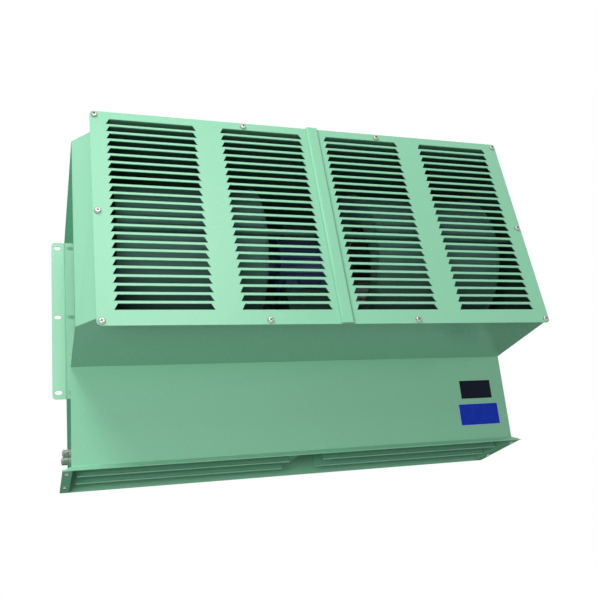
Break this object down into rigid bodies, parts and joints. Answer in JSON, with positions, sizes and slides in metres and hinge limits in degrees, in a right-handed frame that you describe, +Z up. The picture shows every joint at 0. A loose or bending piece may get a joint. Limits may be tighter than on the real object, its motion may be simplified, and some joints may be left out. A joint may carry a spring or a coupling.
{
  "type": "air curtain",
  "caption": "Wall-hung air curtain: bevelled sheet-steel box with louvred intake panels, motor-driven centrifugal blowers and a flared lower outlet with adjustable vanes.",
  "frame": {"origin": "centre of the wall slots, on the wall plane at the casing's back", "axes": "+X to the right seen from the front, +Y into the wall, +Z up"},
  "size_m": [0.954, 0.4215, 0.5834],
  "materials": {
    "casing_paint": "glossy mint-green enamel",
    "panel_paint": "glossy mint-green enamel",
    "blower_paint": "satin green paint",
    "motor_paint": "satin dark blue-grey paint",
    "bright_plating": "bright plated",
    "bare_steel": "turned steel",
    "galvanised": "galvanised sheet",
    "lamination": "varnished laminations",
    "black_plastic": "moulded black plastic",
    "black_rubber": "moulded rubber",
    "black_plate": "black printed aluminium, bare of lettering",
    "blue_plate": "blue printed aluminium, bare of lettering"
  },
  "bodies": {
    "casing": {"back_panel": "casing_paint", "box_floor": "casing_paint", "cable_grommet": "black_rubber", "centre_mullion": "casing_paint", "cross_rail": "casing_paint", "duct_front_plate": "casing_paint", "end_strip_screws": "bright_plating", "frame_bar_bottom": "casing_paint", "frame_bar_left": "casing_paint", "frame_bar_right": "casing_paint", "frame_bar_top": "casing_paint", "intake_panel_left": "panel_paint", "intake_panel_right": "panel_paint", "lower_plate": "blue_plate", "motor_bearing_left": "bare_steel", "motor_bearing_right": "bare_steel", "motor_bolts": "bare_steel", "motor_cradle": "casing_paint", "motor_end_shield_left": "motor_paint", "motor_end_shield_right": "motor_paint", "motor_frame": "motor_paint", "outlet_centre_post": "casing_paint", "outlet_end_strip_left": "casing_paint", "outlet_end_strip_right": "casing_paint", "panel_joint_strip": "casing_paint", "panel_screws": "bright_plating", "scroll_inner_side_left": "blower_paint", "scroll_inner_side_right": "blower_paint", "scroll_outer_side_left": "blower_paint", "scroll_outer_side_right": "blower_paint", "scroll_wrap_left": "blower_paint", "scroll_wrap_right": "blower_paint", "side_panel_left": "casing_paint", "side_panel_right": "casing_paint", "stator_core": "lamination", "terminal_box": "black_plastic", "terminal_box_lid": "black_plastic", "top_panel": "casing_paint", "upper_plate": "black_plate"},
    "rotor": {"hub_set_screws": "bare_steel", "impeller_hub_left": "bare_steel", "impeller_hub_right": "bare_steel", "impeller_left": "galvanised", "impeller_right": "galvanised", "motor_shaft": "bare_steel", "rotor_core": "lamination"},
    "front_left_vane": {"pivot_nuts_front_left": "bright_plating", "pivot_pins_front_left": "bright_plating", "vane_front_left": "casing_paint"},
    "front_right_vane": {"pivot_nuts_front_right": "bright_plating", "pivot_pins_front_right": "bright_plating", "vane_front_right": "casing_paint"},
    "rear_left_vane": {"pivot_nuts_rear_left": "bright_plating", "pivot_pins_rear_left": "bright_plating", "vane_rear_left": "casing_paint"},
    "rear_right_vane": {"pivot_nuts_rear_right": "bright_plating", "pivot_pins_rear_right": "bright_plating", "vane_rear_right": "casing_paint"}
  },
  "joints": [
    {"name": "rotor_spin", "type": "hinge", "parent": "casing", "child": "rotor", "pos_m": [0, -0.2438, -0.006], "axis": [1, 0, 0], "continuous": true},
    {"name": "front_left_vane_tilt", "type": "hinge", "parent": "casing", "child": "front_left_vane", "pos_m": [-0.2372, -0.10607, -0.323], "axis": [1, 0, 0], "range_deg": [-20, 20]},
    {"name": "front_right_vane_tilt", "type": "hinge", "parent": "casing", "child": "front_right_vane", "pos_m": [0.2372, -0.10607, -0.323], "axis": [1, 0, 0], "range_deg": [-20, 20]},
    {"name": "rear_left_vane_tilt", "type": "hinge", "parent": "casing", "child": "rear_left_vane", "pos_m": [-0.2372, -0.05303, -0.323], "axis": [1, 0, 0], "range_deg": [-20, 20]},
    {"name": "rear_right_vane_tilt", "type": "hinge", "parent": "casing", "child": "rear_right_vane", "pos_m": [0.2372, -0.05303, -0.323], "axis": [1, 0, 0], "range_deg": [-20, 20]}
  ]
}
